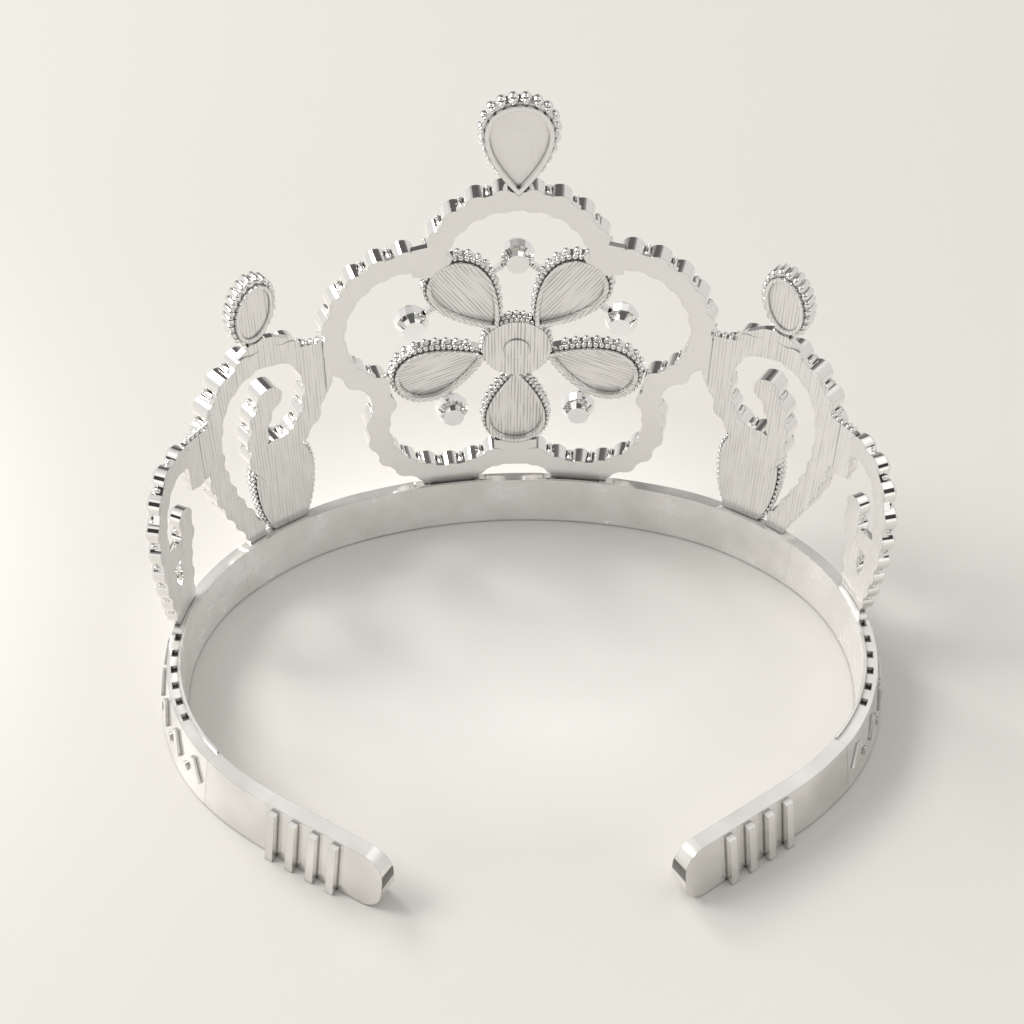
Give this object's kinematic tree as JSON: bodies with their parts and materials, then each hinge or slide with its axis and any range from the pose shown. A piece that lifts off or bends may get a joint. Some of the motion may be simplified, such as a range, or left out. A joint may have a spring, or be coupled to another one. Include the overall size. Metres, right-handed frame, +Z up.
{
  "type": "princess tiara",
  "caption": "Plated toy tiara: an open C-shaped headband that carries a pierced crest of drum strips, a petalled flower with faceted drops, and teardrop and oval finials.",
  "frame": {"origin": "on the surface the tiara stands on, under the middle of its box", "axes": "+Z up, +X towards the wearer's left, -Y towards the front of the wearer"},
  "size_m": [0.1274, 0.0928, 0.0924],
  "materials": {
    "band_plating": "satin plated",
    "crest_plating": "bright plated fronts, brushed satin backs",
    "stone_plating": "mirror plated facets"
  },
  "bodies": {
    "root": {"headband": "band_plating", "centre_frame": "crest_plating", "flower": "crest_plating", "finial": "crest_plating", "side_frame_left": "crest_plating", "side_frame_right": "crest_plating", "side_finial_left": "crest_plating", "side_finial_right": "crest_plating", "end_scroll_left": "crest_plating", "end_scroll_right": "crest_plating", "petal_stone_1": "stone_plating", "petal_stone_2": "stone_plating", "petal_stone_3": "stone_plating", "petal_stone_4": "stone_plating", "petal_stone_5": "stone_plating", "centre_stone": "stone_plating", "finial_stone": "stone_plating", "side_stone_left": "stone_plating", "side_stone_right": "stone_plating", "drop_1": "stone_plating", "drop_2": "stone_plating", "drop_3": "stone_plating", "drop_4": "stone_plating", "drop_5": "stone_plating"}
  },
  "joints": []
}
